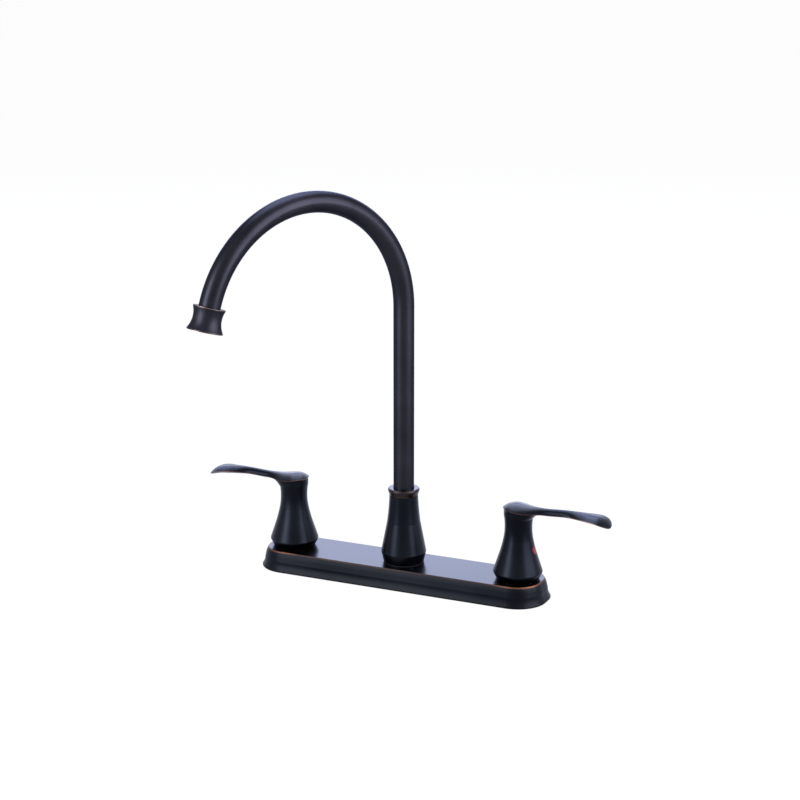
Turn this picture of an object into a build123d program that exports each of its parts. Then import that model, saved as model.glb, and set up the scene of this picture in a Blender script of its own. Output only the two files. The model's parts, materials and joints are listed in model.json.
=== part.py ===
"""Two handle kitchen faucet on a deck plate, in millimetres.

The origin lies on the sink deck, on the spout's swivel axis. +Z points up, the handles stand
along X and the user stands on the -Y side. The spout is modelled swivelled towards the left
handle. Everything under Z = 0 hangs below the sink deck.
"""
import os
from math import cos, pi, radians, sin, sqrt

from build123d import *

os.makedirs("parts", exist_ok=True)

# ---- Driving sizes -------------------------------------------------------------------------
HANDLE_SPREAD = 203.2  # 8 in between the two handle axes
FIT = 0.05             # radial gap of threads, sockets and running shafts
PLAY = 0.3             # gap between loosely stacked or turning parts

# Deck plate: a rounded cover with a lip round its top and a foot that flares out
PLATE_END = 25.8       # from a handle's axis to the plate's end
PLATE_WIDTH = 57.2
PLATE_CORNER_R = 25.0
PLATE_HEIGHT = 16.9
PLATE_WALL = 2.4
PLATE_TOP_WALL = 2.6
FOOT_BAND = 1.2        # height of the foot before it sweeps in
COVE_TOP = 8.4         # height at which the foot's sweep ends
COVE_INSET = 2.4       # how far the upper wall stands inside the foot
WALL_TOP = 12.6        # height at which the wall leans in to the lip
WALL_INSET = 3.4
LIP_INSET = 5.5
FOOT_BREAK = 0.8       # rounding under the foot
BASE_SEAL_HEIGHT = 3.0

# Threaded shanks of 1/2-14 pipe size, with their washers and nuts under the deck
SHANK_R = 10.48
SHANK_DEPTH = 58.0
INLET_R = 6.5
SHANK_CHAMFER = 1.0
SUPPLY_THREAD = 26.0   # stretch at the shank's end for the supply line's nut
THREAD_RELIEF = 1.5    # groove between that stretch and the one for the mounting nut
THREAD_RELIEF_R = 9.8
DECK_THICKNESS = 12.0  # sink deck between the base seal and the washers
WASHER_R = 19.0
WASHER_HEIGHT = 2.0
NUT_HUB_R = 15.0
NUT_HEIGHT = 12.0
NUT_WING_R = 23.0
NUT_WING_WIDTH = 5.0
NUT_WINGS = 4

# Valve bodies and the water channels inside the deck plate
BARREL_R = 15.0
NECK_R = 12.9
NECK_RISE = 3.8        # neck above the deck plate
PLATE_NUT_R = 14.7
PLATE_NUT_HEIGHT = 3.0
NUT_NOTCH = 2.4        # spanner notches in the plate nuts
CHANNEL_Z = 8.8
CHANNEL_R = 4.0
CHANNEL_WALL = 1.0
SOCKET_DEPTH = 4.0

# Ceramic cartridge
CARTRIDGE_R = 9.2
CARTRIDGE_SKIRT_WALL = 1.0
SEAT_SEAL_HEIGHT = 1.6
SEAT_SEAL_HOLE_R = 5.8
DISC_HEIGHT = 2.3
DISC_GAP = 0.02        # lapped faces of the two discs
DISC_PORT_R = 2.5
DISC_PORT_OFFSET = 3.9
DRIVER_HEIGHT = 3.2
DRIVER_TANG_WIDTH = 4.0
WINDOW_HEIGHT = 4.4
WINDOW_WIDTH = 9.0
HEX_FLATS = 22.0
HEX_HEIGHT = 6.5
GLAND_R = 7.0
GLAND_HEIGHT = 4.0
BODY_RING_R = 0.8      # section radius of the ring between cartridge and valve body

# Stem
STEM_R = 5.0
STEM_GROOVE_R = 3.7
STEM_GROOVE_WIDTH = 1.9
STEM_RING_PITCH = 3.2
SPLINE_R = 4.0
SPLINE_ROOT_R = 3.5
SPLINE_TEETH = 16
SPLINE_LENGTH = 14.0
CLIP_HEIGHT = 0.8
CLIP_R = 6.6
CLIP_GROOVE_R = 4.3
CLIP_GAP = 4.0         # opening of the C-shaped clips

# Handle: bell
BELL_BOTTOM_R = 17.3
BELL_SHOULDER_R = 20.3
BELL_SHOULDER_Z = 23.3
BELL_SHOULDER_BLEND = 1.6
BELL_WAIST_R = 15.65   # end of the straight flank, where the sweep to the neck begins
BELL_WAIST_Z = 37.4
BELL_NECK_R = 12.2
BELL_NECK_Z = 50.5
BELL_WALL = 2.3
BELL_RIM_R = 12.1      # bell just under the cap
BELL_RIM_Z = 71.2
BOSS_R = 8.0
CAVITY_TOP_Z = 45.5

# Handle: lever, from the cap over the thin neck to the paddle
CAP_R = 12.7
LEVER_REACH = 78.1
LEVER_NECK_START = 26.0
LEVER_NECK_END = 36.0
LEVER_NECK_HALF = 3.9
PADDLE_X = 69.0
PADDLE_HALF = 12.4
EDGE_BACK_Z = 77.0     # the lever's edge line: back of the cap, dip, crest and tip
EDGE_DIP_Z = 74.7
EDGE_CREST_Z = 76.3
EDGE_TIP_Z = 70.6
DIP_X = 14.0
CREST_X = 57.0
TIP_ROLL = 3.5         # how late the tip turns down
CAP_CROWN = 4.8        # rise of the top over the edge line
NECK_CROWN = 4.2
PADDLE_CROWN = 2.7
CAP_BELLY = 11.5       # depth of the underside below the edge line
NECK_BELLY = 1.8
PADDLE_BELLY = 3.4
ROOT_START = 5.0       # the underside sweeps up from the bell to the neck between these
ROOT_END = 17.5
CAP_TURNS = (6, 16, 28, 42, 56, 72)  # degrees from the cap's back at which its sections stand
ROOT_STEPS = 8         # sections from the cap's middle to the end of the root
LEVER_STEPS = 7        # sections from there to the paddle
TIP_TURNS = (28, 48, 64, 76, 84)     # degrees towards the tip at which its sections stand

# Set screw and index button
SCREW_Z = 42.6
SCREW_R = 2.5
SCREW_LENGTH = 5.5
SCREW_SOCKET_FLATS = 2.5
SCREW_SOCKET_DEPTH = 2.6
BUTTON_R = 2.9
BUTTON_DEPTH = 2.4
BUTTON_PROUD = 0.35

# Spout tube: a gooseneck bent to a little less than a half circle
TUBE_R = 8.5
TUBE_WALL = 1.25
SPOUT_SWIVEL = 26.8    # degrees towards the left handle
BEND_START_Z = 233.1
BEND_R = 95.2
BEND_ANGLE = 164.3
TUBE_BOTTOM_Z = 44.0

# Spout post: hub, base cover, collar and what carries and seals the spout
HUB_R = 10.5
HUB_TOP_Z = 59.0
HUB_FLOOR_Z = 28.5
HUB_THREAD = 8.0
HUB_PASSAGE_R = 6.4
HUB_NUT_FLATS = 25.0
BASE_SEAL_STEP = 0.6   # seal under the spout base
BASE_BOTTOM_R = 16.7
BASE_BEAD_R = 18.7
BASE_BEAD_Z = 26.0
BASE_BEAD_BLEND = 1.8
BASE_MID_R = 13.8
BASE_MID_Z = 51.4
BASE_TOP_R = 11.85
BASE_BOW = 0.3         # how far the upper taper bends in
BASE_TOP_Z = 74.6
BASE_WALL = 2.2
BASE_NECK_R = 10.7
BASE_NECK_HEIGHT = 2.7
BASE_CEILING = 1.1     # roof over the bush, below the base's top
COLLAR_FOOT_R = 11.75
COLLAR_R = 13.05
COLLAR_TAPER = 3.7     # height over which the collar widens from its foot to its rim
COLLAR_HEIGHT = 5.7
COLLAR_TOP_WALL = 1.5
COLLAR_BREAK = 1.4     # rounding of the rim
RETAINER_HEIGHT = 1.2
RETAINER_GROOVE = 0.4
RETAINER_R = 10.5
THRUST_HEIGHT = 1.3
SLEEVE_SPIGOT = 6.0
SLEEVE_BORE_R = 5.4
SLEEVE_GROOVE_R = 7.2
SLEEVE_GROOVE_WIDTH = 2.1
SLEEVE_RING_PITCH = 5.0

# Outlet and aerator
OUTLET_LENGTH = 18.7
OUTLET_TOP_R = 12.5
OUTLET_WAIST_R = 11.1
OUTLET_WAIST_AT = 8.6
OUTLET_BOTTOM_R = 13.9
OUTLET_LIP = 0.9       # thickness of the two thin rims
OUTLET_SOCKET = 5.6
AERATOR_R = 9.6
AERATOR_LENGTH = 7.0
AERATOR_CELL = 1.9     # across the flats of one grille cell
AERATOR_CELL_PITCH = 2.6
AERATOR_CELL_RINGS = 3
SCREEN_HEIGHT = 1.0
SCREEN_HOLE = 1.5
OUTLET_SEAL_HEIGHT = 1.5
OUTLET_STEP = 1.2      # step between the tube's socket and the aerator's seat
OUTLET_MOUTH = 1.2     # bevel inside the lower rim

# ---- Places worked out from the driving sizes ---------------------------------------------------
HANDLE_X = HANDLE_SPREAD / 2
PLATE_LENGTH = HANDLE_SPREAD + 2 * PLATE_END
PLATE_TOP = PLATE_HEIGHT
PLATE_UNDER = PLATE_HEIGHT - PLATE_TOP_WALL
NECK_TOP = PLATE_TOP + NECK_RISE
SEAT_Z = BASE_SEAL_HEIGHT
FIXED_DISC_Z = SEAT_Z + SEAT_SEAL_HEIGHT
MOVING_DISC_Z = FIXED_DISC_Z + DISC_HEIGHT + DISC_GAP
DRIVER_Z = MOVING_DISC_Z + DISC_HEIGHT + DISC_GAP
DRIVER_TOP = DRIVER_Z + DRIVER_HEIGHT
SKIRT_R = CARTRIDGE_R - CARTRIDGE_SKIRT_WALL
SKIRT_TOP = DRIVER_TOP + PLAY
HEX_TOP = NECK_TOP + HEX_HEIGHT
GLAND_TOP = HEX_TOP + GLAND_HEIGHT
CLIP_Z = GLAND_TOP + PLAY
SPLINE_Z = CLIP_Z + CLIP_HEIGHT + 2 * PLAY
BELL_BOTTOM = PLATE_TOP + PLAY
BOSS_BOTTOM = SPLINE_Z - PLAY
BELL_TAPER = (BELL_WAIST_R - BELL_NECK_R) / (BELL_NECK_Z - BELL_WAIST_Z)
BUTTON_SEAT = BELL_NECK_R + (BELL_NECK_Z - SCREW_Z) * BELL_TAPER - BUTTON_DEPTH
TUBE_BORE_R = TUBE_R - TUBE_WALL
HUB_BORE_R = TUBE_R + 2 * FIT
BASE_BOTTOM = PLATE_TOP + BASE_SEAL_STEP
BUSH_ROOF = BASE_TOP_Z - BASE_CEILING
BASE_NECK_TOP = BASE_TOP_Z + BASE_NECK_HEIGHT
RETAINER_Z = BASE_NECK_TOP + PLAY
COLLAR_BOTTOM = BASE_TOP_Z + PLAY
COLLAR_TOP = COLLAR_BOTTOM + COLLAR_HEIGHT
SLEEVE_BOTTOM = HUB_FLOOR_Z + THRUST_HEIGHT + FIT
OUTLET_SEAL_Z = OUTLET_SOCKET + OUTLET_STEP
OUTLET_SCREEN_Z = OUTLET_SEAL_Z + OUTLET_SEAL_HEIGHT


# ---- Small helpers -------------------------------------------------------------------------------
def rod(radius, low, high):
    """Round bar on the Z axis between two heights."""
    return Pos(0, 0, low) * Cylinder(radius, high - low, align=(Align.CENTER, Align.CENTER, Align.MIN))


def ring(outer, inner, low, high):
    """Round tube on the Z axis between two heights."""
    return rod(outer, low, high) - rod(inner, low, high)


def hex_bar(flats, low, high):
    """Hexagonal bar on the Z axis, measured across its flats."""
    return extrude(Pos(0, 0, low) * RegularPolygon(flats / 2, 6, major_radius=False), high - low)


def turned(outline):
    """Solid turned about Z from a closed outline drawn as radius and height."""
    return revolve(Plane.XZ * make_face(outline), Axis.Z)


def along_x(radius, start, end, height=0.0):
    """Round bar along X between two places, at a height."""
    bar = Cylinder(radius, end - start, align=(Align.CENTER, Align.CENTER, Align.MIN))
    return Pos(start, 0, height) * Rot(0, 90, 0) * bar


def o_ring(inner, outer, height):
    """Round-section ring between two radii, a hair clear of both."""
    section = (outer - inner) / 2 - DISC_GAP
    return Pos(0, 0, height) * Torus((outer + inner) / 2, section)


def ease(value, start, end):
    """Smooth step from 0 at start to 1 at end."""
    share = min(max((value - start) / (end - start), 0.0), 1.0)
    return (1 - cos(pi * share)) / 2


def at_both_handles(solid):
    """The same solid under the left and the right handle."""
    return [Pos(side * HANDLE_X, 0, 0) * solid for side in (-1, 1)]


# ---- Deck plate and what closes it below -----------------------------------------------------------
def plate_slab(inset, low, high):
    """Slab with the deck plate's foot outline drawn in by an inset."""
    outline = RectangleRounded(PLATE_LENGTH - 2 * inset, PLATE_WIDTH - 2 * inset, PLATE_CORNER_R - inset)
    return extrude(Pos(0, 0, low) * outline, high - low)


def plate_edge(reach):
    """Half section of the deck plate from its middle to its foot, which stands at reach."""
    wall = Line((reach - COVE_INSET, COVE_TOP), (reach - WALL_INSET, WALL_TOP))
    cove = TangentArc((reach - COVE_INSET, COVE_TOP), (reach, FOOT_BAND), tangent=(0, -1))
    shoulder = TangentArc((reach - WALL_INSET, WALL_TOP), (reach - LIP_INSET, PLATE_HEIGHT), tangent=wall % 1)
    foot = FilletPolyline((0, 0), (reach, 0), (reach, FOOT_BAND), radius=FOOT_BREAK)
    top = Polyline((reach - LIP_INSET, PLATE_HEIGHT), (0, PLATE_HEIGHT), (0, 0))
    return make_face(foot + cove + wall + shoulder + top)


def plate_block():
    """Outside of the deck plate: a long run, and at each end a short run between two corners."""
    corner_x = PLATE_LENGTH / 2 - PLATE_CORNER_R
    corner_y = PLATE_WIDTH / 2 - PLATE_CORNER_R
    half = Plane.YZ * plate_edge(PLATE_WIDTH / 2)
    long_run = extrude(half + mirror(half, Plane.XZ), corner_x, both=True)
    short_run = extrude(Plane.XZ * plate_edge(PLATE_CORNER_R), corner_y, both=True)
    corner = revolve(Plane.XZ * plate_edge(PLATE_CORNER_R), Axis.Z, 90)
    ends = []
    for side, turn in ((1, 0), (-1, 180)):
        ends.append(Pos(side * corner_x, 0, 0) * Rot(0, 0, turn) * short_run)
        ends.append(Pos(side * corner_x, side * corner_y, 0) * Rot(0, 0, turn) * corner)
        ends.append(Pos(side * corner_x, -side * corner_y, 0) * Rot(0, 0, turn - 90) * corner)
    return long_run + ends


def deck_plate():
    """Cast cover, open below, with a hole for each valve neck and for the spout hub."""
    hollow = plate_slab(WALL_INSET + PLATE_WALL, 0, PLATE_UNDER)
    hollow += plate_slab(PLATE_WALL, 0, BASE_SEAL_HEIGHT)
    holes = at_both_handles(rod(NECK_R + PLAY, PLATE_UNDER, PLATE_TOP)) + [
        rod(HUB_R + PLAY, PLATE_UNDER, PLATE_TOP)]
    return plate_block() - hollow - holes


def base_seal():
    """Flat seal between the deck plate's rim and the sink."""
    return plate_slab(PLATE_WALL + PLAY, 0, BASE_SEAL_HEIGHT) - at_both_handles(
        rod(SHANK_R + FIT, 0, BASE_SEAL_HEIGHT))


# ---- Valve bodies, hub and the tubes between them -----------------------------------------------------
def tube_socket(direction):
    """Cut for a crossover tube on one side of a barrel, with the water way to its middle."""
    socket = along_x(CHANNEL_R + CHANNEL_WALL + FIT, BARREL_R - SOCKET_DEPTH, BARREL_R, CHANNEL_Z)
    way = along_x(CHANNEL_R, 0, BARREL_R, CHANNEL_Z)
    return Rot(0, 0, 0 if direction > 0 else 180) * (socket + way)


def valve_body():
    """Brass body under a handle: shank, barrel, threaded neck and a socket towards the middle."""
    body = rod(SHANK_R, -SHANK_DEPTH, SEAT_Z) + rod(BARREL_R, SEAT_Z, PLATE_UNDER)
    body += rod(NECK_R, PLATE_UNDER, NECK_TOP)
    body = chamfer(body.edges().sort_by(Axis.Z)[0], SHANK_CHAMFER)
    relief_z = SHANK_CHAMFER + SUPPLY_THREAD - SHANK_DEPTH
    body -= ring(2 * SHANK_R, THREAD_RELIEF_R, relief_z, relief_z + THREAD_RELIEF)
    body -= rod(CARTRIDGE_R + FIT, SEAT_Z, NECK_TOP)
    body -= rod(INLET_R, -SHANK_DEPTH, SEAT_Z)
    return body - tube_socket(-1)


def spout_hub():
    """Brass hub in the middle: barrel fed from both sides and the post that takes the spout."""
    body = rod(BARREL_R, SEAT_Z, PLATE_UNDER) + rod(HUB_R, PLATE_UNDER, HUB_TOP_Z)
    body -= rod(HUB_BORE_R, HUB_FLOOR_Z, HUB_TOP_Z)
    body -= rod(HUB_PASSAGE_R, CHANNEL_Z, HUB_FLOOR_Z)
    return body - tube_socket(1) - tube_socket(-1)


def crossover_tube():
    """Tube that carries water from one valve body to the hub."""
    inner_end = BARREL_R - SOCKET_DEPTH
    outer_end = HANDLE_X - BARREL_R + SOCKET_DEPTH
    tube = along_x(CHANNEL_R + CHANNEL_WALL, inner_end, outer_end, CHANNEL_Z)
    return tube - along_x(CHANNEL_R, inner_end, outer_end, CHANNEL_Z)


def plate_nut():
    """Notched ring nut that holds the deck plate down on a valve body."""
    nut = ring(PLATE_NUT_R, NECK_R + FIT, PLATE_TOP, PLATE_TOP + PLATE_NUT_HEIGHT)
    notch = Pos(PLATE_NUT_R, 0, PLATE_TOP + PLATE_NUT_HEIGHT) * Box(
        NUT_NOTCH, NUT_NOTCH, 2 * NUT_NOTCH)
    return nut - PolarLocations(0, 4) * notch


def hub_nut():
    """Hexagonal nut that holds the deck plate down on the spout hub."""
    top = PLATE_TOP + PLATE_NUT_HEIGHT
    return hex_bar(HUB_NUT_FLATS, PLATE_TOP, top) - rod(HUB_R + FIT, PLATE_TOP, top)


def mounting_washer():
    """Washer against the underside of the sink deck."""
    return ring(WASHER_R, SHANK_R + PLAY, -DECK_THICKNESS - WASHER_HEIGHT, -DECK_THICKNESS)


def mounting_nut():
    """Wing nut on a shank, turned by hand from below the sink."""
    top = -DECK_THICKNESS - WASHER_HEIGHT
    wing = Pos(0, 0, top - NUT_HEIGHT) * Box(
        NUT_WING_R, NUT_WING_WIDTH, NUT_HEIGHT, align=(Align.MIN, Align.CENTER, Align.MIN))
    wing = fillet(wing.edges().filter_by(Axis.Z).group_by(Axis.X)[-1], NUT_WING_WIDTH / 2 - FIT)
    nut = rod(NUT_HUB_R, top - NUT_HEIGHT, top) + PolarLocations(0, NUT_WINGS) * wing
    return nut - rod(SHANK_R + FIT, top - NUT_HEIGHT, top)


# ---- Ceramic cartridge ------------------------------------------------------------------------------
def cartridge():
    """Headwork that screws into a valve body: skirt round the discs, hexagon and gland."""
    body = rod(CARTRIDGE_R, FIXED_DISC_Z, NECK_TOP) + hex_bar(HEX_FLATS, NECK_TOP, HEX_TOP)
    body += rod(GLAND_R, HEX_TOP, GLAND_TOP)
    body -= rod(SKIRT_R, FIXED_DISC_Z, SKIRT_TOP)
    body -= rod(STEM_R + FIT, SKIRT_TOP, GLAND_TOP)
    window_z = MOVING_DISC_Z + WINDOW_HEIGHT / 2
    body -= Pos(0, 0, window_z) * Box(4 * CARTRIDGE_R, WINDOW_WIDTH, WINDOW_HEIGHT)
    groove_low = (NECK_TOP + SKIRT_TOP) / 2 - BODY_RING_R
    groove_r = CARTRIDGE_R + FIT - 2 * BODY_RING_R
    return body - ring(CARTRIDGE_R, groove_r, groove_low, groove_low + 2 * BODY_RING_R)


def cartridge_ring():
    """Ring that seals the cartridge in the valve body."""
    outer = CARTRIDGE_R + FIT
    return o_ring(outer - 2 * BODY_RING_R, outer, (NECK_TOP + SKIRT_TOP) / 2)


def seat_seal():
    """Rubber seal between the valve body's seat and the fixed disc."""
    return ring(CARTRIDGE_R, SEAT_SEAL_HOLE_R, SEAT_Z, FIXED_DISC_Z)


def fixed_disc():
    """Ceramic disc with two ports, keyed in the cartridge."""
    disc = rod(SKIRT_R - FIT, FIXED_DISC_Z, FIXED_DISC_Z + DISC_HEIGHT)
    ports = [Pos(0, y, 0) * rod(DISC_PORT_R, FIXED_DISC_Z, FIXED_DISC_Z + DISC_HEIGHT)
             for y in (-DISC_PORT_OFFSET, DISC_PORT_OFFSET)]
    return disc - ports


def moving_disc():
    """Ceramic disc that opens or covers the ports, with a slot for the driver's tang."""
    low, high = MOVING_DISC_Z, MOVING_DISC_Z + DISC_HEIGHT
    disc = rod(SKIRT_R - PLAY, low, high)
    ports = [Pos(x, 0, 0) * rod(DISC_PORT_R + PLAY, low, high) for x in (-DISC_PORT_OFFSET, DISC_PORT_OFFSET)]
    slot = Pos(0, 0, high) * Box(DRIVER_TANG_WIDTH + 2 * FIT, 4 * SKIRT_R, DISC_HEIGHT)
    return disc - ports - slot


def stem():
    """Spindle with a driver flange and tang below, two ring grooves, a clip groove and a spline."""
    body = rod(SKIRT_R - PLAY, DRIVER_Z, DRIVER_TOP) + rod(STEM_R, DRIVER_TOP, SPLINE_Z - PLAY)
    tang = Pos(0, 0, DRIVER_Z) * Box(DRIVER_TANG_WIDTH, 2 * SKIRT_R, DISC_HEIGHT - 2 * FIT)
    body += tang & rod(SKIRT_R - PLAY, MOVING_DISC_Z, DRIVER_TOP)
    for height in stem_ring_heights():
        low = height - STEM_GROOVE_WIDTH / 2
        body -= ring(STEM_R, STEM_GROOVE_R, low, low + STEM_GROOVE_WIDTH)
    body -= ring(STEM_R, CLIP_GROOVE_R, CLIP_Z - FIT, CLIP_Z + CLIP_HEIGHT + FIT)
    return body + spline_bar(0, SPLINE_Z - PLAY, SPLINE_Z + SPLINE_LENGTH)


def stem_ring_heights():
    """Heights of the two rings on the stem, inside the cartridge's bore."""
    middle = (SKIRT_TOP + GLAND_TOP) / 2
    return middle - STEM_RING_PITCH / 2, middle + STEM_RING_PITCH / 2


def spline_bar(gap, low, high):
    """Toothed bar on the Z axis, widened by a gap where it is cut out of the handle."""
    step = 2 * pi / SPLINE_TEETH
    root, crest = SPLINE_ROOT_R, SPLINE_R
    corners = []
    for tooth in range(SPLINE_TEETH):
        for turn, radius in ((0.15, root), (0.35, crest), (0.65, crest), (0.85, root)):
            angle = (tooth + turn) * step
            corners.append(((radius + gap) * cos(angle), (radius + gap) * sin(angle)))
    return extrude(Pos(0, 0, low) * make_face(Polyline(*corners, close=True)), high - low)


def stem_rings():
    """Two rings that seal the stem in the cartridge."""
    return [o_ring(STEM_GROOVE_R, STEM_R + FIT, height) for height in stem_ring_heights()]


def stem_clip():
    """C-shaped clip that keeps the stem from dropping into the cartridge."""
    clip = ring(CLIP_R, CLIP_GROOVE_R + FIT, CLIP_Z, CLIP_Z + CLIP_HEIGHT)
    return clip - Pos(0, -CLIP_R, CLIP_Z) * Box(CLIP_GAP, 2 * CLIP_R, 4 * CLIP_HEIGHT)


# ---- Handle -----------------------------------------------------------------------------------------
def bell_outside(grow=0.0, top=EDGE_BACK_Z):
    """Solid of the bell's outside, grown outwards by a little where asked."""
    bottom = (BELL_BOTTOM_R + grow, BELL_BOTTOM)
    shoulder = (BELL_SHOULDER_R + grow, BELL_SHOULDER_Z)
    waist = (BELL_WAIST_R + grow, BELL_WAIST_Z)
    neck = (BELL_NECK_R + grow, BELL_NECK_Z)
    rim = (BELL_RIM_R + grow, BELL_RIM_Z)
    flank = FilletPolyline(bottom, shoulder, waist, radius=BELL_SHOULDER_BLEND)
    sweep_in = TangentArc(waist, neck, tangent=flank % 1)
    flare = TangentArc(neck, rim, tangent=sweep_in % 1)
    close = Polyline(rim, (BELL_RIM_R + grow, top), (0, top), (0, BELL_BOTTOM), bottom)
    return turned(flank + sweep_in + flare + close)


def bell_cavity():
    """Hollow of the bell over the cartridge, with the stem boss left standing in it."""
    top_r = BELL_NECK_R + (BELL_NECK_Z - CAVITY_TOP_Z) * BELL_TAPER - BELL_WALL
    outline = Polyline((0, BELL_BOTTOM), (BELL_BOTTOM_R - BELL_WALL, BELL_BOTTOM),
                       (BELL_SHOULDER_R - BELL_WALL, BELL_SHOULDER_Z),
                       (BELL_WAIST_R - BELL_WALL, BELL_WAIST_Z), (top_r, CAVITY_TOP_Z),
                       (0, CAVITY_TOP_Z), close=True)
    return turned(outline) - rod(BOSS_R, BOSS_BOTTOM, CAVITY_TOP_Z)


def edge_height(x):
    """Height of the lever's edge line: high behind the cap, a dip, the crest and the rolled tip."""
    if x > CREST_X:
        share = (x - CREST_X) / (LEVER_REACH - CREST_X)
        return EDGE_CREST_Z - (EDGE_CREST_Z - EDGE_TIP_Z) * share ** TIP_ROLL
    back = (EDGE_BACK_Z - EDGE_DIP_Z) * (1 - ease(x, -CAP_R, DIP_X))
    return EDGE_DIP_Z + back + (EDGE_CREST_Z - EDGE_DIP_Z) * ease(x, DIP_X, CREST_X)


def half_width(x):
    """Half the lever's width: round cap, thin neck, broad paddle with a round end."""
    if x <= 0:
        return sqrt(CAP_R ** 2 - x ** 2)
    if x >= PADDLE_X:
        return PADDLE_HALF * sqrt(1 - ((x - PADDLE_X) / (LEVER_REACH - PADDLE_X)) ** 2)
    narrowed = CAP_R + (LEVER_NECK_HALF - CAP_R) * ease(x, 0, LEVER_NECK_START)
    return narrowed + (PADDLE_HALF - LEVER_NECK_HALF) * ease(x, LEVER_NECK_END, PADDLE_X)


def lever_section(x):
    """Lens-shaped section of the lever: a crowned top and a bellied underside on one edge line."""
    half, edge = half_width(x), edge_height(x)
    crown = CAP_CROWN + (NECK_CROWN - CAP_CROWN) * ease(x, 0, LEVER_NECK_START)
    crown += (PADDLE_CROWN - NECK_CROWN) * ease(x, LEVER_NECK_END, PADDLE_X)
    belly = CAP_BELLY + (NECK_BELLY - CAP_BELLY) * ease(x, ROOT_START, ROOT_END)
    belly += (PADDLE_BELLY - NECK_BELLY) * ease(x, LEVER_NECK_END, PADDLE_X)
    fade = 1.0
    if x < 0:
        fade = (half / CAP_R) ** 2
    if x > PADDLE_X:
        fade = half / PADDLE_HALF
    top = ThreePointArc((-half, edge), (0, edge + crown * fade), (half, edge))
    under = ThreePointArc((half, edge), (0, edge - belly * fade), (-half, edge))
    place = Plane(origin=(x, 0, 0), x_dir=(0, 1, 0), z_dir=(1, 0, 0))
    return place * make_face(top + under)


def lever():
    """Lever lofted from the back of the cap to the tip of the paddle."""
    cap = [-CAP_R * cos(radians(turn)) for turn in CAP_TURNS]
    root = [ROOT_END * step / ROOT_STEPS for step in range(ROOT_STEPS)]
    middle = [ROOT_END + (PADDLE_X - ROOT_END) * step / LEVER_STEPS for step in range(LEVER_STEPS + 1)]
    tip = [PADDLE_X + (LEVER_REACH - PADDLE_X) * sin(radians(turn)) for turn in TIP_TURNS]
    return loft([lever_section(x) for x in cap + root + middle + tip])


def under_edge_line():
    """Everything near the cap that lies under the lever's edge line."""
    reach = 2 * CAP_R
    knots = [reach * (step / 6 - 1) for step in range(13)]
    line = Spline(*[(x, edge_height(x) - FIT) for x in knots])
    close = Polyline(line @ 1, (reach, 0), (-reach, 0), line @ 0)
    return extrude(Plane.XZ * make_face(line + close), reach, both=True)


def handle():
    """Hollow bell, stem boss and wave-shaped lever, cast in one, with the lever along +X."""
    solid = (bell_outside() & under_edge_line()) + lever()
    solid -= bell_cavity()
    bridge = along_x(SCREW_R + BELL_WALL, BOSS_R / 2, BUTTON_SEAT + BUTTON_DEPTH, SCREW_Z)
    solid += bridge & bell_outside(-BELL_WALL / 2)
    solid -= spline_bar(FIT, BOSS_BOTTOM, SPLINE_Z + SPLINE_LENGTH + 2 * PLAY)
    solid -= along_x(SCREW_R, 0, BUTTON_SEAT, SCREW_Z)
    return solid - along_x(BUTTON_R + FIT, BUTTON_SEAT, 2 * BELL_SHOULDER_R, SCREW_Z)


def set_screw():
    """Headless screw with a hexagon socket that clamps the handle on the stem."""
    start = SPLINE_R + FIT
    end = start + SCREW_LENGTH
    socket = extrude(RegularPolygon(SCREW_SOCKET_FLATS / 2, 6, major_radius=False), SCREW_SOCKET_DEPTH)
    screw = along_x(SCREW_R - FIT, start, end, SCREW_Z)
    return screw - Pos(end - SCREW_SOCKET_DEPTH, 0, SCREW_Z) * Rot(0, 90, 0) * socket


def index_button():
    """Coloured plug over the set screw, following the bell a hair proud of it."""
    head = along_x(BUTTON_R, BUTTON_SEAT + FIT, 2 * BELL_SHOULDER_R, SCREW_Z) & bell_outside(BUTTON_PROUD)
    return head + along_x(SCREW_R - FIT, BUTTON_SEAT - 1, BUTTON_SEAT + 1, SCREW_Z)


# ---- Spout post ---------------------------------------------------------------------------------------
def spout_base():
    """Bell-shaped cover screwed on the hub, with a beaded foot and a threaded neck on top."""
    foot = FilletPolyline((BASE_BOTTOM_R, BASE_BOTTOM), (BASE_BEAD_R, BASE_BEAD_Z),
                          (BASE_MID_R, BASE_MID_Z), radius=BASE_BEAD_BLEND)
    taper = ThreePointArc((BASE_MID_R, BASE_MID_Z), base_taper_middle(), (BASE_TOP_R, BASE_TOP_Z))
    close = Polyline((BASE_TOP_R, BASE_TOP_Z), (BASE_NECK_R, BASE_TOP_Z), (BASE_NECK_R, BASE_NECK_TOP),
                     (0, BASE_NECK_TOP), (0, BASE_BOTTOM), (BASE_BOTTOM_R, BASE_BOTTOM))
    thread_z = HUB_TOP_Z - HUB_THREAD
    hollow = Polyline((0, BASE_BOTTOM), (BASE_BOTTOM_R - BASE_WALL, BASE_BOTTOM),
                      (BASE_BEAD_R - BASE_WALL, BASE_BEAD_Z), (HUB_R + FIT, thread_z),
                      (HUB_R + FIT, BUSH_ROOF), (0, BUSH_ROOF), close=True)
    return turned(foot + taper + close) - turned(hollow) - rod(TUBE_R + PLAY, 0, BASE_NECK_TOP)


def base_taper_middle():
    """Point that bows the upper half of the spout base a little inwards."""
    middle_r = (BASE_MID_R + BASE_TOP_R) / 2 - BASE_BOW
    return middle_r, (BASE_MID_Z + BASE_TOP_Z) / 2


def spout_base_seal():
    """Thin ring between spout base and deck plate."""
    return ring(BASE_BOTTOM_R - FIT, BASE_BOTTOM_R - BASE_WALL, PLATE_TOP, BASE_BOTTOM)


def spout_bush():
    """Plastic bearing that guides the spout tube at the top of the spout base."""
    return ring(HUB_R, TUBE_R + FIT, HUB_TOP_Z + FIT, BUSH_ROOF - FIT)


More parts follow.
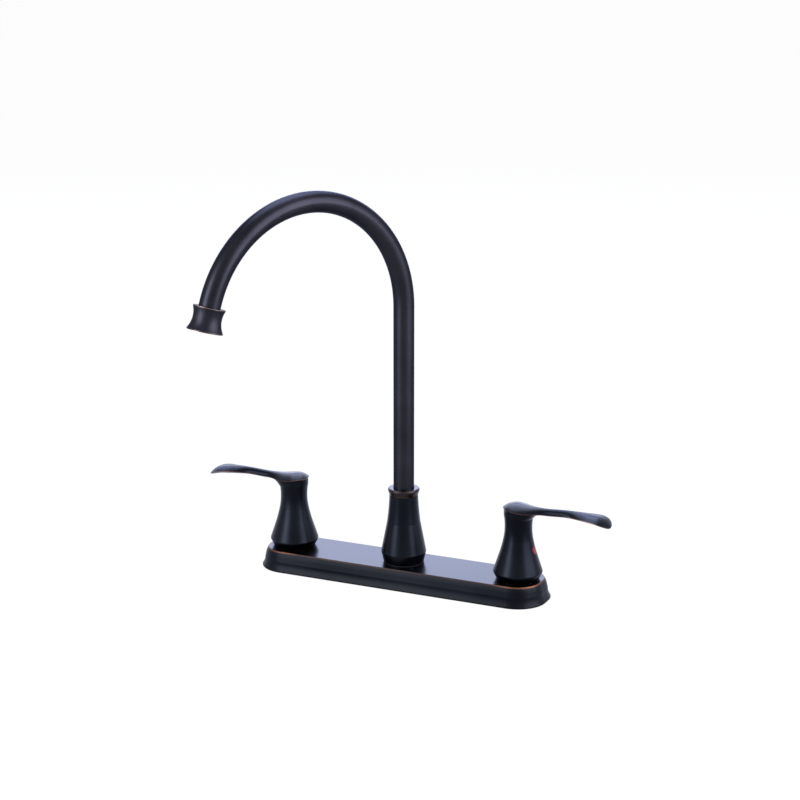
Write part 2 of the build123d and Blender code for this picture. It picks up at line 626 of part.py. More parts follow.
def spout_collar():
    """Ring nut that closes the spout base over the retainer, widening to a rounded rim."""
    bore = TUBE_R + PLAY
    side = FilletPolyline((COLLAR_FOOT_R, COLLAR_BOTTOM), (COLLAR_R, COLLAR_BOTTOM + COLLAR_TAPER),
                          (COLLAR_R, COLLAR_TOP), (bore, COLLAR_TOP), radius=COLLAR_BREAK)
    back = Polyline((bore, COLLAR_TOP), (bore, COLLAR_BOTTOM), (COLLAR_FOOT_R, COLLAR_BOTTOM))
    return turned(side + back) - rod(BASE_NECK_R + FIT, COLLAR_BOTTOM, COLLAR_TOP - COLLAR_TOP_WALL)


def thrust_washer():
    """Washer at the bottom of the hub's bore that carries the spout."""
    return ring(HUB_BORE_R - FIT, HUB_PASSAGE_R, HUB_FLOOR_Z, HUB_FLOOR_Z + THRUST_HEIGHT)


# ---- Spout ----------------------------------------------------------------------------------------------
def swivelled(shape):
    """Turn what was drawn over the -Y axis to the spout's resting direction."""
    return Rot(0, 0, -SPOUT_SWIVEL) * shape


def spout_path():
    """Centre line of the spout tube: upright, one wide bend and a straight end in the outlet."""
    upright = Line((0, 0, TUBE_BOTTOM_Z), (0, 0, BEND_START_Z))
    bend_plane = Plane(origin=(0, 0, BEND_START_Z), x_dir=(0, -1, 0), z_dir=(-1, 0, 0))
    bend = bend_plane * CenterArc((BEND_R, 0), BEND_R, 180, -BEND_ANGLE)
    straight = Line(bend @ 1, bend @ 1 + (bend % 1) * (OUTLET_SOCKET - FIT))
    return upright + bend + straight


def spout_tube():
    """Gooseneck tube with a groove for the retainer."""
    path = spout_path()
    section = Pos(0, 0, TUBE_BOTTOM_Z) * (Circle(TUBE_R) - Circle(TUBE_BORE_R))
    groove = ring(2 * TUBE_R, TUBE_R - RETAINER_GROOVE, RETAINER_Z - FIT, RETAINER_Z + RETAINER_HEIGHT + FIT)
    return swivelled(sweep(section, path=path) - groove)


def spout_sleeve():
    """Brass end of the spout tube with two ring grooves, turning in the hub."""
    sleeve = ring(TUBE_R, SLEEVE_BORE_R, SLEEVE_BOTTOM, TUBE_BOTTOM_Z)
    sleeve += ring(TUBE_BORE_R - FIT, SLEEVE_BORE_R, TUBE_BOTTOM_Z, TUBE_BOTTOM_Z + SLEEVE_SPIGOT)
    for height in sleeve_ring_heights():
        low = height - SLEEVE_GROOVE_WIDTH / 2
        sleeve -= ring(TUBE_R, SLEEVE_GROOVE_R, low, low + SLEEVE_GROOVE_WIDTH)
    return sleeve


def sleeve_ring_heights():
    """Heights of the two rings on the spout sleeve."""
    middle = (SLEEVE_BOTTOM + TUBE_BOTTOM_Z) / 2
    return middle - SLEEVE_RING_PITCH / 2, middle + SLEEVE_RING_PITCH / 2


def spout_rings():
    """Two rings that seal the spout in the hub."""
    return [o_ring(SLEEVE_GROOVE_R, HUB_BORE_R - FIT, height) for height in sleeve_ring_heights()]


def spout_retainer():
    """C-shaped ring in the tube's groove that keeps the spout under the collar."""
    retainer = ring(RETAINER_R, TUBE_R - RETAINER_GROOVE + FIT, RETAINER_Z, RETAINER_Z + RETAINER_HEIGHT)
    gap = Pos(0, -RETAINER_R, RETAINER_Z) * Box(CLIP_GAP, 2 * RETAINER_R, 4 * RETAINER_HEIGHT)
    return swivelled(retainer - gap)


def at_outlet(shape):
    """Move what was drawn round +Z from the outlet's top rim to the end of the bend."""
    path = spout_path()
    rim = path @ 1 - (path % 1) * (OUTLET_SOCKET - FIT)
    return swivelled(Pos(rim) * Rot(BEND_ANGLE, 0, 0) * shape)


def spout_outlet():
    """Trumpet-shaped end with two thin rims, bored for the tube above and the aerator below."""
    low_rim = OUTLET_LENGTH - OUTLET_LIP
    waist = (OUTLET_WAIST_R, OUTLET_WAIST_AT)
    sweep_in = ThreePointArc((OUTLET_TOP_R, OUTLET_LIP), waist, (OUTLET_BOTTOM_R, low_rim))
    close = Polyline((OUTLET_BOTTOM_R, low_rim), (OUTLET_BOTTOM_R, OUTLET_LENGTH), (0, OUTLET_LENGTH),
                     (0, 0), (OUTLET_TOP_R, 0), (OUTLET_TOP_R, OUTLET_LIP))
    body = turned(sweep_in + close)
    body -= rod(TUBE_R + FIT, 0, OUTLET_SOCKET) + rod(TUBE_BORE_R, OUTLET_SOCKET, OUTLET_SEAL_Z)
    body -= rod(AERATOR_R + FIT, OUTLET_SEAL_Z, OUTLET_LENGTH)
    mouth = Cone(AERATOR_R + FIT, AERATOR_R + OUTLET_MOUTH, OUTLET_MOUTH,
                 align=(Align.CENTER, Align.CENTER, Align.MAX))
    return body - Pos(0, 0, OUTLET_LENGTH) * mouth


def cell_places():
    """Centres of the grille cells: one in the middle and rings of six round it."""
    places = []
    for across in range(-AERATOR_CELL_RINGS, AERATOR_CELL_RINGS + 1):
        for up in range(-AERATOR_CELL_RINGS, AERATOR_CELL_RINGS + 1):
            if abs(across + up) <= AERATOR_CELL_RINGS:
                places.append(((across + up / 2) * AERATOR_CELL_PITCH, up * sqrt(3) / 2 * AERATOR_CELL_PITCH))
    return places


def aerator_insert():
    """Plastic core whose honeycomb cells straighten the water."""
    low = OUTLET_SCREEN_Z + SCREEN_HEIGHT + FIT
    cell = RegularPolygon(AERATOR_CELL / 2, 6, major_radius=False, rotation=30)
    cells = [Pos(x, y, low) * cell for x, y in cell_places()]
    return rod(AERATOR_R, low, low + AERATOR_LENGTH) - extrude(Sketch() + cells, AERATOR_LENGTH)


def aerator_screen():
    """Perforated disc above the aerator's core."""
    holes = [Pos(x, y, OUTLET_SCREEN_Z) * Rectangle(SCREEN_HOLE, SCREEN_HOLE) for x, y in cell_places()]
    screen = rod(AERATOR_R, OUTLET_SCREEN_Z, OUTLET_SCREEN_Z + SCREEN_HEIGHT)
    return screen - extrude(Sketch() + holes, SCREEN_HEIGHT)


def outlet_seal():
    """Rubber ring between the outlet and the aerator."""
    return ring(AERATOR_R, TUBE_BORE_R, OUTLET_SEAL_Z, OUTLET_SCREEN_Z)


# ---- Nodes ---------------------------------------------------------------------------------------------
def save(name, shapes):
    """Write the solids of one sub-part to its own file."""
    solids = ShapeList(shapes).solids() if isinstance(shapes, list) else shapes.solids()
    export_step(solids[0] if len(solids) == 1 else Compound(solids), f"parts/{name}.step")


# Everything at a handle is drawn with +X pointing outwards, where its lever points.
AT_HANDLE = {
    "valve_body": valve_body(),
    "plate_nut": plate_nut(),
    "cartridge": cartridge(),
    "cartridge_ring": cartridge_ring(),
    "seat_seal": seat_seal(),
    "fixed_disc": fixed_disc(),
    "moving_disc": moving_disc(),
    "stem": stem(),
    "stem_clip": stem_clip(),
    "handle": handle(),
    "set_screw": set_screw(),
    "index_button": index_button(),
}
for tag, side, turn in (("left", -1, 180), ("right", 1, 0)):
    outwards = Pos(side * HANDLE_X, 0, 0) * Rot(0, 0, turn)
    for part_name, solid in AT_HANDLE.items():
        save(f"{tag}_{part_name}", outwards * solid)
    save(f"{tag}_stem_rings", [outwards * stem_ring for stem_ring in stem_rings()])
    save(f"{tag}_crossover_tube", Rot(0, 0, turn) * crossover_tube())

save("deck_plate", deck_plate())
save("base_seal", base_seal())
save("spout_hub", spout_hub())
save("hub_nut", hub_nut())
save("mounting_washers", at_both_handles(mounting_washer()))
save("mounting_nuts", at_both_handles(mounting_nut()))

save("spout_base", spout_base())
save("spout_base_seal", spout_base_seal())
save("spout_bush", spout_bush())
save("spout_collar", spout_collar())
save("thrust_washer", thrust_washer())

save("spout_tube", spout_tube())
save("spout_sleeve", spout_sleeve())
save("spout_rings", spout_rings())
save("spout_retainer", spout_retainer())
save("spout_outlet", at_outlet(spout_outlet()))
save("aerator_insert", at_outlet(aerator_insert()))
save("aerator_screen", at_outlet(aerator_screen()))
save("outlet_seal", at_outlet(outlet_seal()))
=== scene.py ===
import json
from math import cos, radians, sin

import bmesh
import bpy
from mathutils import Matrix, Vector


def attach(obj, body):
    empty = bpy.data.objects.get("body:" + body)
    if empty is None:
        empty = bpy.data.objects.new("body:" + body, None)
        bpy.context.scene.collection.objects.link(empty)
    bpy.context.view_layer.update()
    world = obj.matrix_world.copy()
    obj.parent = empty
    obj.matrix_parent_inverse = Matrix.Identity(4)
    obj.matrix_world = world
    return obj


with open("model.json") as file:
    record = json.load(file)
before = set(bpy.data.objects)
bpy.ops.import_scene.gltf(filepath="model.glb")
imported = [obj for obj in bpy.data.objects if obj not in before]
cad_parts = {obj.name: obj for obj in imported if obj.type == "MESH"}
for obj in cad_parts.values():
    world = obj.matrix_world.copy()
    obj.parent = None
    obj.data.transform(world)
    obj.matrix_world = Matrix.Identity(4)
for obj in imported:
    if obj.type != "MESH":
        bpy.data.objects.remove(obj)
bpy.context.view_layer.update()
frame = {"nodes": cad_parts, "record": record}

MM = 0.001
NODES = frame["nodes"]

# ---- Camera, floor and lights ----------------------------------------------------------------------
CAMERA_AZIMUTH = radians(24.5)      # from the front towards the right handle
CAMERA_ELEVATION = radians(15.26)
CAMERA_DISTANCE = 1809 * MM
CAMERA_AIM = Vector((-19.0, 34.2, 144.4)) * MM
CAMERA_LENS = 97.8                  # focal length in mm, on a sensor of the width below
CAMERA_SENSOR = 36
SIGHT_LIMIT = 100                   # in metres, beyond the far edge of the floor
FLOOR_SIZE = 40.0
FLOOR_COLOUR = (0.84, 0.84, 0.85)
FLOOR_ROUGHNESS = 0.9
FLOOR_WHITENESS = 0.97              # how much of the floor that is seen or mirrored is plain white
AIR_COLOUR = (0.86, 0.89, 1.0)      # of the light that fills the shadows
AIR_LEVEL = 0.25
WHITE = (1, 1, 1)
LAMP_AIM = Vector((0, 0, 0.13))     # a little under the middle of the faucet's height
SOFT_BOXES = (
    # name, azimuth and elevation in degrees, distance, width and height in metres, power, colour
    ("left box", -30, 15, 1.05, (0.45, 0.8), 11, WHITE),
    ("right box", 87, 20, 1.1, (1.0, 1.0), 20, WHITE),
    ("back box", 205, 19, 2.0, (2.4, 0.8), 13, (0.68, 0.76, 1.0)),
    ("high box", 205, 62, 1.6, (1.2, 1.5), 40, (0.80, 0.86, 1.0)),
)


def direction(azimuth, elevation):
    """Unit vector from the faucet towards a place, azimuth 0 being the user's side."""
    flat = cos(elevation)
    return Vector((sin(azimuth) * flat, -cos(azimuth) * flat, sin(elevation)))


def stand_off(thing, aim, back, distance):
    """Put a camera or lamp at a distance from its aim, facing it, and link it."""
    turn = back.to_track_quat("Z", "Y").to_matrix().to_4x4()
    thing.matrix_world = Matrix.Translation(aim + back * distance) @ turn
    bpy.context.scene.collection.objects.link(thing)


def photographers_camera():
    """Camera at the photograph's place, aimed just beside the spout."""
    data = bpy.data.cameras.new("camera")
    data.lens = CAMERA_LENS
    data.sensor_width = CAMERA_SENSOR
    data.clip_end = SIGHT_LIMIT
    camera = bpy.data.objects.new("camera", data)
    stand_off(camera, CAMERA_AIM, direction(CAMERA_AZIMUTH, CAMERA_ELEVATION), CAMERA_DISTANCE)
    bpy.context.scene.camera = camera


def soft_box(name, azimuth, elevation, distance, size, power, colour):
    """Rectangular area light that faces the faucet, hidden from the camera."""
    data = bpy.data.lights.new(name, "AREA")
    data.shape = "RECTANGLE"
    data.size, data.size_y = size
    data.energy = power
    data.color = colour
    lamp = bpy.data.objects.new(name, data)
    lamp.visible_camera = False
    stand_off(lamp, LAMP_AIM, direction(radians(azimuth), radians(elevation)), distance)


def sink_deck():
    """White surface on which the faucet stands. It hides the shanks, as the real deck does."""
    floor_mesh = bmesh.new()
    bmesh.ops.create_grid(floor_mesh, x_segments=1, y_segments=1, size=FLOOR_SIZE / 2)
    floor = finished_piece("sink_deck", floor_mesh, paper_white())


def seen_or_mirrored(tree):
    """One where the camera sees a surface, straight or in a reflection, and nought elsewhere."""
    path = tree.nodes.new("ShaderNodeLightPath")
    mirrored = math_node(tree, "ADD", path.outputs["Is Glossy Ray"], path.outputs["Is Transmission Ray"])
    return math_node(tree, "ADD", path.outputs["Is Camera Ray"], mirrored, clamp=True)


def blend_shaders(tree, share, first, second, output):
    """Mix of two shaders into an output node."""
    blend = tree.nodes.new("ShaderNodeMixShader")
    tree.links.new(share, blend.inputs["Fac"])
    tree.links.new(first.outputs[0], blend.inputs[1])
    tree.links.new(second.outputs[0], blend.inputs[2])
    tree.links.new(blend.outputs[0], output.inputs["Surface"])


def paper_white():
    """Matte white that is seen almost pure, so that only a soft shadow shows."""
    material, tree, shader = plain_material("paper white", FLOOR_COLOUR, FLOOR_ROUGHNESS)
    glow = tree.nodes.new("ShaderNodeEmission")
    share = math_node(tree, "MULTIPLY", seen_or_mirrored(tree), FLOOR_WHITENESS)
    blend_shaders(tree, share, shader, glow, tree.nodes["Material Output"])
    return material


def studio_air():
    """World that is plain white where it is seen or mirrored, and fills the shadows softly."""
    world = bpy.data.worlds.new("studio")
    bpy.context.scene.world = world
    world.use_nodes = True
    tree = world.node_tree
    fill = tree.nodes["Background"]
    fill.inputs["Color"].default_value = (*AIR_COLOUR, 1)
    fill.inputs["Strength"].default_value = AIR_LEVEL
    white = tree.nodes.new("ShaderNodeBackground")
    white.inputs["Color"].default_value = (*WHITE, 1)
    blend_shaders(tree, seen_or_mirrored(tree), fill, white, tree.nodes["World Output"])


# ---- Pieces and materials: shared helpers ----------------------------------------------------------
MIX_COLOURS = (6, 7)                # places of the colour sockets among a Mix node's inputs
MIX_RESULT = 2                      # and of the colour among its outputs


def finished_piece(name, mesh, material):
    """Object of a bmesh, linked and given its material."""
    data = bpy.data.meshes.new(name)
    mesh.to_mesh(data)
    mesh.free()
    data.materials.append(material)
    piece = bpy.data.objects.new(name, data)
    bpy.context.scene.collection.objects.link(piece)
    return piece


def plain_material(name, colour, roughness, metallic=0.0):
    """New material with its Principled shader's main values set."""
    material = bpy.data.materials.new(name)
    material.use_nodes = True
    tree = material.node_tree
    shader = tree.nodes["Principled BSDF"]
    shader.inputs["Base Color"].default_value = (*colour, 1)
    shader.inputs["Roughness"].default_value = roughness
    shader.inputs["Metallic"].default_value = metallic
    return material, tree, shader


def new_group(name, inputs, outputs):
    """Shader node group whose sockets are numbers with these names."""
    group = bpy.data.node_groups.new(name, "ShaderNodeTree")
    for label in inputs:
        group.interface.new_socket(label, in_out="INPUT", socket_type="NodeSocketFloat")
    for label in outputs:
        group.interface.new_socket(label, in_out="OUTPUT", socket_type="NodeSocketFloat")
    return group, group.nodes.new("NodeGroupInput"), group.nodes.new("NodeGroupOutput")


def place_group(tree, group, **values):
    """Node of a group in a material, with its own values set on its sockets."""
    node = tree.nodes.new("ShaderNodeGroup")
    node.node_tree = group
    for label, value in values.items():
        node.inputs[label.replace("_", " ")].default_value = value
    return node


def math_node(tree, operation, first, second=None, clamp=False):
    """Math node fed by sockets or plain numbers."""
    node = tree.nodes.new("ShaderNodeMath")
    node.operation = operation
    node.use_clamp = clamp
    for socket, value in zip(node.inputs, (first, second)):
        if value is None:
            continue
        if isinstance(value, (int, float)):
            socket.default_value = value
        else:
            tree.links.new(value, socket)
    return node.outputs[0]


def ramp_node(tree, value, low, high, start=0.0, end=1.0):
    """Map Range node, clamped, from low..high to start..end."""
    node = tree.nodes.new("ShaderNodeMapRange")
    node.inputs["From Min"].default_value = low
    node.inputs["From Max"].default_value = high
    node.inputs["To Min"].default_value = start
    node.inputs["To Max"].default_value = end
    tree.links.new(value, node.inputs["Value"])
    return node.outputs["Result"]


def colour_mix(tree, share, first, second):
    """Colour between two colours or sockets, by a mask."""
    node = tree.nodes.new("ShaderNodeMix")
    node.data_type = "RGBA"
    tree.links.new(share, node.inputs["Factor"])
    for place, value in zip(MIX_COLOURS, (first, second)):
        if isinstance(value, tuple):
            node.inputs[place].default_value = (*value, 1)
        else:
            tree.links.new(value, node.inputs[place])
    return node.outputs[MIX_RESULT]


def split_vector(tree, vector):
    """X, Y and Z sockets of a vector."""
    node = tree.nodes.new("ShaderNodeSeparateXYZ")
    tree.links.new(vector, node.inputs[0])
    return node.outputs


def grain_bump(tree, shader, height, strength, distance):
    """Fine relief on a finish."""
    bump = tree.nodes.new("ShaderNodeBump")
    bump.inputs["Strength"].default_value = strength
    bump.inputs["Distance"].default_value = distance
    tree.links.new(height, bump.inputs["Height"])
    tree.links.new(bump.outputs["Normal"], shader.inputs["Normal"])


# ---- Effects that several finishes use -------------------------------------------------------------
BEVEL_SAMPLES = 8
EDGE_COSINES = (0.995, 0.93)        # of the angle to the rounded normal, from no wear to full wear
WORN_PATCHES = (0.38, 0.60)         # noise, from patches that are spared to worn ones
PATCH_DETAIL = 4
MOTTLE_DETAIL = 5
GRAIN_DETAIL = 2


def object_noise(tree, scale, detail):
    """Noise on Object coordinates, with its scale from a socket."""
    place = tree.nodes.new("ShaderNodeTexCoord")
    noise = tree.nodes.new("ShaderNodeTexNoise")
    noise.inputs["Detail"].default_value = detail
    tree.links.new(place.outputs["Object"], noise.inputs["Vector"])
    tree.links.new(scale, noise.inputs["Scale"])
    return noise.outputs["Fac"]


def edge_wear_group():
    """Mask of sharp edges: Width is how far the wear reaches, and Least its strength in spared patches."""
    group, inside, out = new_group("edge wear", ("Width", "Patch Scale", "Least"), ("Wear",))
    bevel = group.nodes.new("ShaderNodeBevel")
    bevel.samples = BEVEL_SAMPLES
    group.links.new(inside.outputs["Width"], bevel.inputs["Radius"])
    geometry = group.nodes.new("ShaderNodeNewGeometry")
    dot = group.nodes.new("ShaderNodeVectorMath")
    dot.operation = "DOT_PRODUCT"
    group.links.new(bevel.outputs["Normal"], dot.inputs[0])
    group.links.new(geometry.outputs["Normal"], dot.inputs[1])
    edge = ramp_node(group, dot.outputs["Value"], *EDGE_COSINES)
    noise = object_noise(group, inside.outputs["Patch Scale"], PATCH_DETAIL)
    patch = ramp_node(group, noise, *WORN_PATCHES)
    kept = math_node(group, "MAXIMUM", patch, inside.outputs["Least"])
    group.links.new(math_node(group, "MULTIPLY", edge, kept, clamp=True), out.inputs["Wear"])
    return group


def patina_group():
    """Slow mottling of a finish and its fine grain, as two masks round one half."""
    group, inside, out = new_group("patina", ("Mottle Scale", "Grain Scale"), ("Mottle", "Grain"))
    for label, detail in (("Mottle", MOTTLE_DETAIL), ("Grain", GRAIN_DETAIL)):
        noise = object_noise(group, inside.outputs[label + " Scale"], detail)
        group.links.new(noise, out.inputs[label])
    return group


EDGE_WEAR = edge_wear_group()
PATINA = patina_group()

# ---- Finishes: the bronze --------------------------------------------------------------------------
HANDLE_SKIN = ((0.0042, 0.0052, 0.0085), (0.0085, 0.0105, 0.0155))     # darker and lighter patches
PLATE_SKIN = ((0.0030, 0.0036, 0.0058), (0.0056, 0.0068, 0.0100))
POST_SKIN = ((0.0056, 0.0070, 0.0106), (0.0108, 0.0132, 0.0186))
TUBE_SKIN = ((0.0130, 0.0132, 0.0192), (0.0225, 0.0230, 0.0320))
OUTLET_SKIN = ((0.0140, 0.0145, 0.0205), (0.0215, 0.0225, 0.0310))
RING_SKIN = ((0.018, 0.014, 0.015), (0.034, 0.028, 0.029))
BROWN_WORN = (0.040, 0.025, 0.021)
COPPER_WORN = (0.105, 0.043, 0.027)
# pale rose of rubbed rims, light enough to be a painted highlight on the rounded rims of the ring nut and
# the outlet
ROSE_WEAR_AND_RIM_HIGHLIGHT = (0.21, 0.155, 0.155)
BRONZE_SHEEN = (0.84, 0.86, 1.0)    # what the finish mirrors at a flat angle
TUBE_SHEEN = (0.46, 0.47, 0.54)
WAX_IOR = 1.14                      # thin wax over the bronze, which shines at a flat angle
WAX_SLOPES = (0.25, 0.85)           # height part of the normal, from thin wax to thick
SIDE_WAX = 0.25                     # share of the wax on upright faces
THIN_WAX = (0.15, 0.20)             # share of the wax on the spout, on its sides and on its top
FINGERED = (112 * MM, 134 * MM)     # fingers take wax off the levers between these, from the middle
FINGERED_WAX = 0.08                 # share of it that stays at the levers' ends
LEVEL_SLOPES = (0.94, 0.985)        # height part of the normal, from a sloping face to a level one
BUFFED_ROUGHNESS = 0.23             # of level faces
LIP_HEIGHTS = (15.5 * MM, 16.3 * MM)    # the rubbing of the plate's lip grows between these
PLATE_ENDS = (86 * MM, 100 * MM)    # and between these, from the middle to the ends
MIDDLE_RUBBING = 0.30               # share of the rubbing in the plate's middle
PATCHY_RUBBING = 0.72               # and in its lighter patches
MOTTLE_SPAN = (0.35, 0.68)          # noise, from darker patches to lighter ones
BROWN_SPAN = (0.0, 0.45)            # wear, from untouched skin to brown
BARE_AND_HIGHLIGHT_SPAN = (0.3, 0.9)              # wear, from brown to bare metal, which on the pale rose rims is also a painted highlight
SATIN_SPAN = (0.3, 0.7)             # noise, from smoother patches to rougher ones
SATIN_SPREAD = 0.04


def place_on_object(tree):
    """Sideways distance from the middle of the faucet, and height."""
    place = split_vector(tree, tree.nodes.new("ShaderNodeTexCoord").outputs["Object"])
    return math_node(tree, "ABSOLUTE", place["X"]), place["Z"]


def upward_look(tree):
    """Height part of the surface's normal: one where a face is level, nought where it is upright."""
    geometry = tree.nodes.new("ShaderNodeNewGeometry")
    return split_vector(tree, geometry.outputs["Normal"])["Z"]


def level_faces(tree):
    """Mask of the faces that look straight up."""
    return ramp_node(tree, upward_look(tree), *LEVEL_SLOPES)


def waxed_tops(tree):
    """Wax that is thick on top faces and thin on upright ones."""
    return ramp_node(tree, upward_look(tree), *WAX_SLOPES, SIDE_WAX, 1.0)


def waxed_spout(tree):
    """As waxed_tops, but the wax is thin all over."""
    return ramp_node(tree, upward_look(tree), *WAX_SLOPES, *THIN_WAX)


def waxed_handle(tree):
    """As waxed_tops, but fingers have dulled the levers."""
    sideways, _ = place_on_object(tree)
    kept = ramp_node(tree, sideways, *FINGERED, 1.0, FINGERED_WAX)
    return math_node(tree, "MULTIPLY", waxed_tops(tree), kept)


def plate_lip(tree, mottle):
    """Rubbing of the plate: its lip below the level top, strongest round the two ends."""
    sideways, height = place_on_object(tree)
    lip = ramp_node(tree, height, *LIP_HEIGHTS)
    sloping = math_node(tree, "SUBTRACT", 1.0, level_faces(tree))
    ends = ramp_node(tree, sideways, *PLATE_ENDS, MIDDLE_RUBBING, 1.0)
    patchy = math_node(tree, "MULTIPLY", ends, ramp_node(tree, mottle, 0.0, 1.0, 1.0, PATCHY_RUBBING))
    return math_node(tree, "MULTIPLY", math_node(tree, "MULTIPLY", lip, sloping), patchy)


def worn_edges(tree, width, least):
    """Rubbing of a piece that wears on its edges alone."""
    return place_group(tree, EDGE_WEAR, Width=width, Patch_Scale=55.0, Least=least).outputs["Wear"]


def rubbed_bronze(name, skin, roughness, wax_roughness, edges=None, waxing=waxed_tops,
                  bare_metal_and_highlight=COPPER_WORN, sheen=BRONZE_SHEEN):
    """Near-black satin bronze, rubbed through to brown and bare metal; a pale bare colour on rounded rims
    is also a painted highlight.

    Edges holds the width and the least strength of the wear on its edges. A piece without it is rubbed
    on its lip, as the plate is.
    """
    skin_dark, skin_light = skin
    material, tree, shader = plain_material(name, skin_dark, roughness, 1.0)
    shader.inputs["Specular Tint"].default_value = (*sheen, 1)
    tree.links.new(waxing(tree), shader.inputs["Coat Weight"])
    shader.inputs["Coat Roughness"].default_value = wax_roughness
    shader.inputs["Coat IOR"].default_value = WAX_IOR
    patina = place_group(tree, PATINA, Mottle_Scale=22.0, Grain_Scale=1400.0)
    mottle = ramp_node(tree, patina.outputs["Mottle"], *MOTTLE_SPAN)
    wear = worn_edges(tree, *edges) if edges else plate_lip(tree, mottle)
    untouched = colour_mix(tree, mottle, skin_dark, skin_light)
    brown = colour_mix(tree, ramp_node(tree, wear, *BROWN_SPAN), untouched, BROWN_WORN)
    # bare metal on worn edges; where that colour is pale rose it is also a painted highlight on the rims
    worn_and_highlit = colour_mix(tree, ramp_node(tree, wear, *BARE_AND_HIGHLIGHT_SPAN), brown, bare_metal_and_highlight)
    tree.links.new(worn_and_highlit, shader.inputs["Base Color"])
    satin = ramp_node(tree, patina.outputs["Mottle"], *SATIN_SPAN,
                      roughness - SATIN_SPREAD, roughness + SATIN_SPREAD)
    buffed = ramp_node(tree, level_faces(tree), 0.0, 1.0, 1.0, BUFFED_ROUGHNESS / roughness)
    tree.links.new(math_node(tree, "MULTIPLY", satin, buffed), shader.inputs["Roughness"])
    grain_bump(tree, shader, patina.outputs["Grain"], strength=0.06, distance=0.05 * MM)
    return material


PLATE_BRONZE = rubbed_bronze("bronze of the plate", PLATE_SKIN, roughness=0.48, wax_roughness=0.25)
HANDLE_BRONZE = rubbed_bronze("bronze of the handles", HANDLE_SKIN, roughness=0.37, wax_roughness=0.28,
                              edges=(1.1 * MM, 0.6), waxing=waxed_handle)
POST_BRONZE = rubbed_bronze("bronze of the post", POST_SKIN, roughness=0.36, wax_roughness=0.28,
                            edges=(0.1 * MM, 0.0))
TUBE_BRONZE = rubbed_bronze("bronze of the tube", TUBE_SKIN, roughness=0.38, wax_roughness=0.32,
                            edges=(0.3 * MM, 0.1), waxing=waxed_spout, sheen=TUBE_SHEEN)
# the outlet's and the ring nut's rims wear to pale rose, which also paints a highlight on them
OUTLET_BRONZE = rubbed_bronze("bronze of the outlet", OUTLET_SKIN, roughness=0.42, wax_roughness=0.30,
                              edges=(1.0 * MM, 0.8), waxing=waxed_spout, bare_metal_and_highlight=ROSE_WEAR_AND_RIM_HIGHLIGHT,
                              sheen=TUBE_SHEEN)
RING_BRONZE = rubbed_bronze("bronze of the ring nut", RING_SKIN, roughness=0.34, wax_roughness=0.25,
                            edges=(0.8 * MM, 0.6), bare_metal_and_highlight=ROSE_WEAR_AND_RIM_HIGHLIGHT)
BRONZE_BY_PIECE = {
    "deck_plate": PLATE_BRONZE,
    "left_handle": HANDLE_BRONZE,
    "right_handle": HANDLE_BRONZE,
    "spout_base": POST_BRONZE,
    "spout_collar": RING_BRONZE,
    "spout_tube": TUBE_BRONZE,
    "spout_outlet": OUTLET_BRONZE,
}

# ---- Finishes: other metals, rubber, ceramic and plastics ------------------------------------------
METAL_EDGES = {"Width": 0.3 * MM, "Patch_Scale": 120.0, "Least": 0.5}
BRIGHTENING = 1.15                  # of a metal's colour on its edges
DULL_SPAN = (0.4, 0.65)             # noise, from clean patches to dulled ones
METAL_SPAN = (0.35, 0.7)            # noise, from smoother patches to rougher ones
METAL_SPREAD = 0.15
DARKENING = 0.86                    # of a moulded piece's colour in its darker patches
SHADE_SPAN = (0.35, 0.65)           # noise, from darker patches to lighter ones
MOULD_SPAN = (0.3, 0.7)             # grain, from smoother spots to rougher ones
MOULD_SPREAD = 0.06


def machined_metal(name, colour, dulled, roughness):
    """Turned or drawn metal, a little dulled in patches and bright on its edges."""
    material, tree, shader = plain_material(name, colour, roughness, 1.0)
    patina = place_group(tree, PATINA, Mottle_Scale=90.0, Grain_Scale=2500.0)
    wear = place_group(tree, EDGE_WEAR, **METAL_EDGES)
    bright = tuple(min(1.0, value * BRIGHTENING) for value in colour)
    skin = colour_mix(tree, ramp_node(tree, patina.outputs["Mottle"], *DULL_SPAN), colour, dulled)
    tree.links.new(colour_mix(tree, wear.outputs["Wear"], skin, bright), shader.inputs["Base Color"])
    rough = ramp_node(tree, patina.outputs["Mottle"], *METAL_SPAN, roughness, roughness + METAL_SPREAD)
    tree.links.new(rough, shader.inputs["Roughness"])
    grain_bump(tree, shader, patina.outputs["Grain"], strength=0.08, distance=0.04 * MM)
    return material


def moulded(name, colour, roughness, relief=0.1, coat=0.0, shine=0.5):
    """Moulded plastic, rubber or ceramic with a fine skin."""
    material, tree, shader = plain_material(name, colour, roughness)
    shader.inputs["Specular IOR Level"].default_value = shine
    shader.inputs["Coat Weight"].default_value = coat
    patina = place_group(tree, PATINA, Mottle_Scale=120.0, Grain_Scale=3500.0)
    darker = tuple(value * DARKENING for value in colour)
    shade = ramp_node(tree, patina.outputs["Mottle"], *SHADE_SPAN)
    tree.links.new(colour_mix(tree, shade, darker, colour), shader.inputs["Base Color"])
    rough = ramp_node(tree, patina.outputs["Grain"], *MOULD_SPAN,
                      roughness - MOULD_SPREAD, roughness + MOULD_SPREAD)
    tree.links.new(rough, shader.inputs["Roughness"])
    grain_bump(tree, shader, patina.outputs["Grain"], strength=relief, distance=0.05 * MM)
    return material


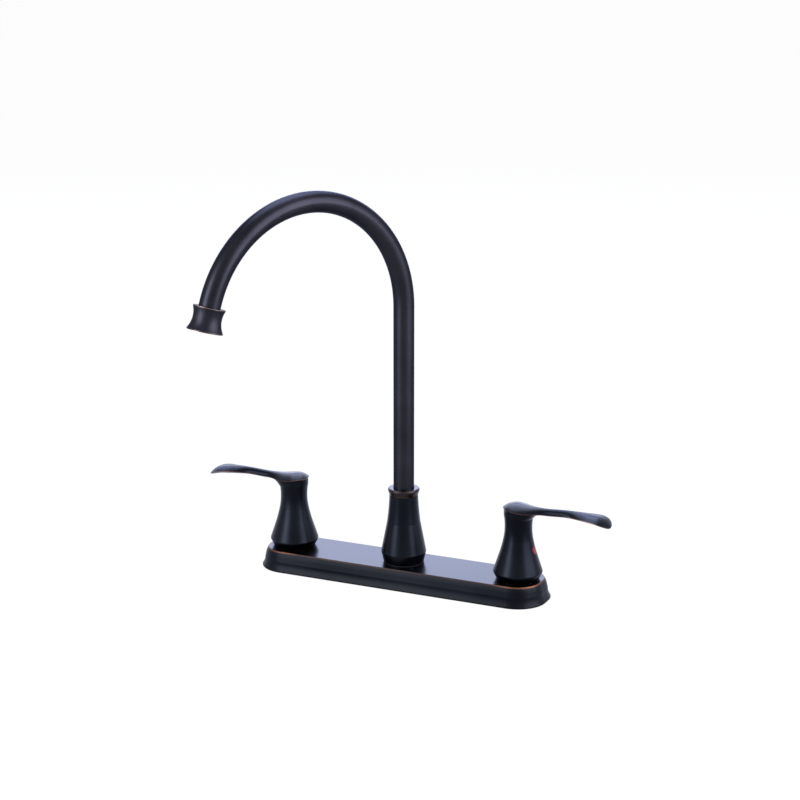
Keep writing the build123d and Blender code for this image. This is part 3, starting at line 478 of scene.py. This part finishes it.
FINISHES = {
    "brass": machined_metal("turned brass", (0.72, 0.50, 0.22), (0.52, 0.35, 0.15), roughness=0.28),
    "copper": machined_metal("drawn copper", (0.78, 0.40, 0.26), (0.48, 0.24, 0.16), roughness=0.32),
    "zinc_steel": machined_metal("zinc plate", (0.58, 0.59, 0.60), (0.45, 0.46, 0.48), roughness=0.34),
    "rubber": moulded("black rubber", (0.006, 0.006, 0.007), roughness=0.66, relief=0.25, shine=0.2),
    "ceramic": moulded("lapped ceramic", (0.80, 0.78, 0.74), roughness=0.22, relief=0.02, coat=0.3),
    "black_plastic": moulded("black plastic", (0.028, 0.028, 0.030), roughness=0.48),
    "white_plastic": moulded("white plastic", (0.70, 0.70, 0.67), roughness=0.42),
    "grey_plastic": moulded("grey plastic", (0.42, 0.43, 0.45), roughness=0.40),
    "red_plastic": moulded("red plastic", (0.15, 0.004, 0.020), roughness=0.36, relief=0.02, shine=0.3),
    "blue_plastic": moulded("blue plastic", (0.006, 0.025, 0.17), roughness=0.36, relief=0.02, shine=0.3),
}


def dress_cad_pieces():
    """Give every CAD piece the finish of its material slot."""
    for entry in frame["record"]["subparts"]:
        node = entry["node"]
        slot = entry["material_slot"]
        finish = BRONZE_BY_PIECE[node] if slot == "bronze" else FINISHES[slot]
        data = NODES[node].data
        data.materials.clear()
        data.materials.append(finish)


# ---- Threads of the two shanks ---------------------------------------------------------------------
THREAD_PITCH = 25.4 / 14 * MM       # 14 threads to the inch
SHANK_R = 10.48 * MM
SHANK_X = 101.6 * MM
THREAD_RUNS = ((-56.2 * MM, -31.4 * MM), (-29.1 * MM, -13.5 * MM))      # below and above the groove
RIDGE_HEIGHT = 0.42 * MM
RIDGE_SINK = 0.10 * MM              # how far a ridge's foot lies inside the shank
RIDGE_FOOT = 0.66 * MM              # half width of a ridge at its foot and at its crest
RIDGE_CREST = 0.12 * MM
STEPS_PER_TURN = 36


def thread_ridge(mesh, x, bottom, top):
    """Helical ridge round a shank, from one height to another."""
    foot = SHANK_R - RIDGE_SINK
    crest = SHANK_R + RIDGE_HEIGHT
    outline = ((foot, -RIDGE_FOOT), (crest, -RIDGE_CREST), (crest, RIDGE_CREST), (foot, RIDGE_FOOT))
    corners = [mesh.verts.new((x + r, 0, bottom + z)) for r, z in outline]
    turns = (top - bottom) / THREAD_PITCH
    steps = round(turns * STEPS_PER_TURN)
    bmesh.ops.spin(mesh, geom=[mesh.faces.new(corners)], cent=(x, 0, 0), axis=(0, 0, 1),
                   dvec=(0, 0, THREAD_PITCH / STEPS_PER_TURN), angle=steps * radians(360) / STEPS_PER_TURN,
                   steps=steps)


def cut_threads():
    """Pipe thread on both shanks, which rides with the valve bodies."""
    for side, x in (("left", -SHANK_X), ("right", SHANK_X)):
        mesh = bmesh.new()
        for bottom, top in THREAD_RUNS:
            thread_ridge(mesh, x, bottom, top)
        bmesh.ops.recalc_face_normals(mesh, faces=mesh.faces)
        thread = finished_piece(side + "_shank_thread", mesh, FINISHES["brass"])
        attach(thread, "base")


bpy.context.scene.view_settings.view_transform = "Standard"
cut_threads()
dress_cad_pieces()
photographers_camera()
studio_air()
sink_deck()
for box in SOFT_BOXES:
    soft_box(*box)
